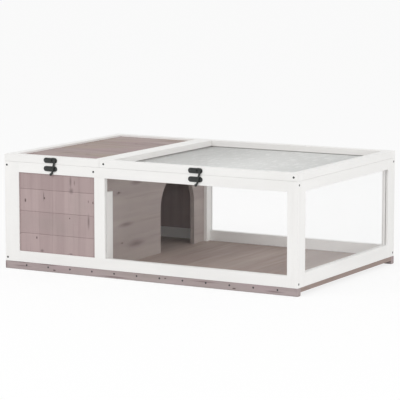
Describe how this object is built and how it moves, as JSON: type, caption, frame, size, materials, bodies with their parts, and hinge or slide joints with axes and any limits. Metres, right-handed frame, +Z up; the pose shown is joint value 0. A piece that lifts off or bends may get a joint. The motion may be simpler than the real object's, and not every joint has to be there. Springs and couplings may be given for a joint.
{
  "type": "tortoise house",
  "caption": "Low timber tortoise house on two runners: boarded hide with a hinged roof, arched doorway, glazed run, and a hinged mesh lid, both lids held by turning hook latches.",
  "frame": {"origin": "middle of the overall footprint, on the ground under the runners", "axes": "+X along the width with the hide at the low end, +Y from the latches to the hinges, +Z up"},
  "size_m": [0.914, 0.6154, 0.3217],
  "materials": {
    "white_wood": "satin white paint",
    "stained_wood": "matte taupe stain",
    "dowel_wood": "bare beech",
    "clear_acrylic": "clear polished",
    "zinc_wire": "galvanised",
    "zinc_plate": "zinc plated",
    "black_metal": "black powder coat",
    "dark_screw": "black phosphate"
  },
  "bodies": {
    "house": {"frame_screws": "dark_screw", "runner_screws": "dark_screw", "hardware_screws": "dark_screw", "frame_dowels": "dowel_wood", "front_left_post": "white_wood", "front_middle_post": "white_wood", "front_right_post": "white_wood", "front_top_rail": "white_wood", "front_bottom_rail": "white_wood", "rear_left_post": "white_wood", "rear_middle_post": "white_wood", "rear_right_post": "white_wood", "rear_top_rail": "white_wood", "rear_bottom_rail": "white_wood", "left_front_stile": "white_wood", "left_rear_stile": "white_wood", "left_top_rail": "white_wood", "left_bottom_rail": "white_wood", "right_front_stile": "white_wood", "right_rear_stile": "white_wood", "right_top_rail": "white_wood", "right_bottom_rail": "white_wood", "hide_front_boards": "stained_wood", "hide_rear_boards": "stained_wood", "hide_left_boards": "stained_wood", "front_pane": "clear_acrylic", "rear_pane": "clear_acrylic", "right_pane": "clear_acrylic", "front_runner": "stained_wood", "rear_runner": "stained_wood", "floor_boards": "stained_wood", "divider_panel": "stained_wood", "divider_front_batten": "white_wood", "divider_rear_batten": "white_wood", "divider_top_rail": "white_wood", "hinge_fixed_leaves": "zinc_plate", "hinge_pins": "zinc_plate", "hide_latch_plate": "black_metal", "mesh_latch_plate": "black_metal", "latch_pivots": "black_metal"},
    "hide_lid": {"hide_lid_screws": "dark_screw", "hide_lid_front_rail": "white_wood", "hide_lid_rear_rail": "white_wood", "hide_lid_left_rail": "white_wood", "hide_lid_right_rail": "white_wood", "hide_roof_boards": "stained_wood", "hide_lid_hinge_leaves": "zinc_plate", "hide_lid_keeper": "black_metal"},
    "mesh_lid": {"mesh_lid_screws": "dark_screw", "mesh_lid_frame_screws": "dark_screw", "mesh_lid_front_rail": "white_wood", "mesh_lid_rear_rail": "white_wood", "mesh_lid_left_rail": "white_wood", "mesh_lid_right_rail": "white_wood", "wire_mesh": "zinc_wire", "mesh_lid_hinge_leaves": "zinc_plate", "mesh_lid_keeper": "black_metal"},
    "hide_hook": {"hide_latch_hook": "black_metal"},
    "mesh_hook": {"mesh_latch_hook": "black_metal"}
  },
  "joints": [
    {"name": "hide_lid_hinge", "type": "hinge", "parent": "house", "child": "hide_lid", "pos_m": [-0.3022, 0.3047, 0.30162], "axis": [-1, 0, 0], "range_deg": [0, 105]},
    {"name": "mesh_lid_hinge", "type": "hinge", "parent": "house", "child": "mesh_lid", "pos_m": [0.1552, 0.3047, 0.30162], "axis": [-1, 0, 0], "range_deg": [0, 105]},
    {"name": "hide_latch_turn", "type": "hinge", "parent": "house", "child": "hide_hook", "pos_m": [-0.2952, -0.30495, 0.28875], "axis": [0, 1, 0], "range_deg": [-18, 72]},
    {"name": "mesh_latch_turn", "type": "hinge", "parent": "house", "child": "mesh_hook", "pos_m": [0.1622, -0.30495, 0.28875], "axis": [0, 1, 0], "range_deg": [-18, 72]}
  ]
}
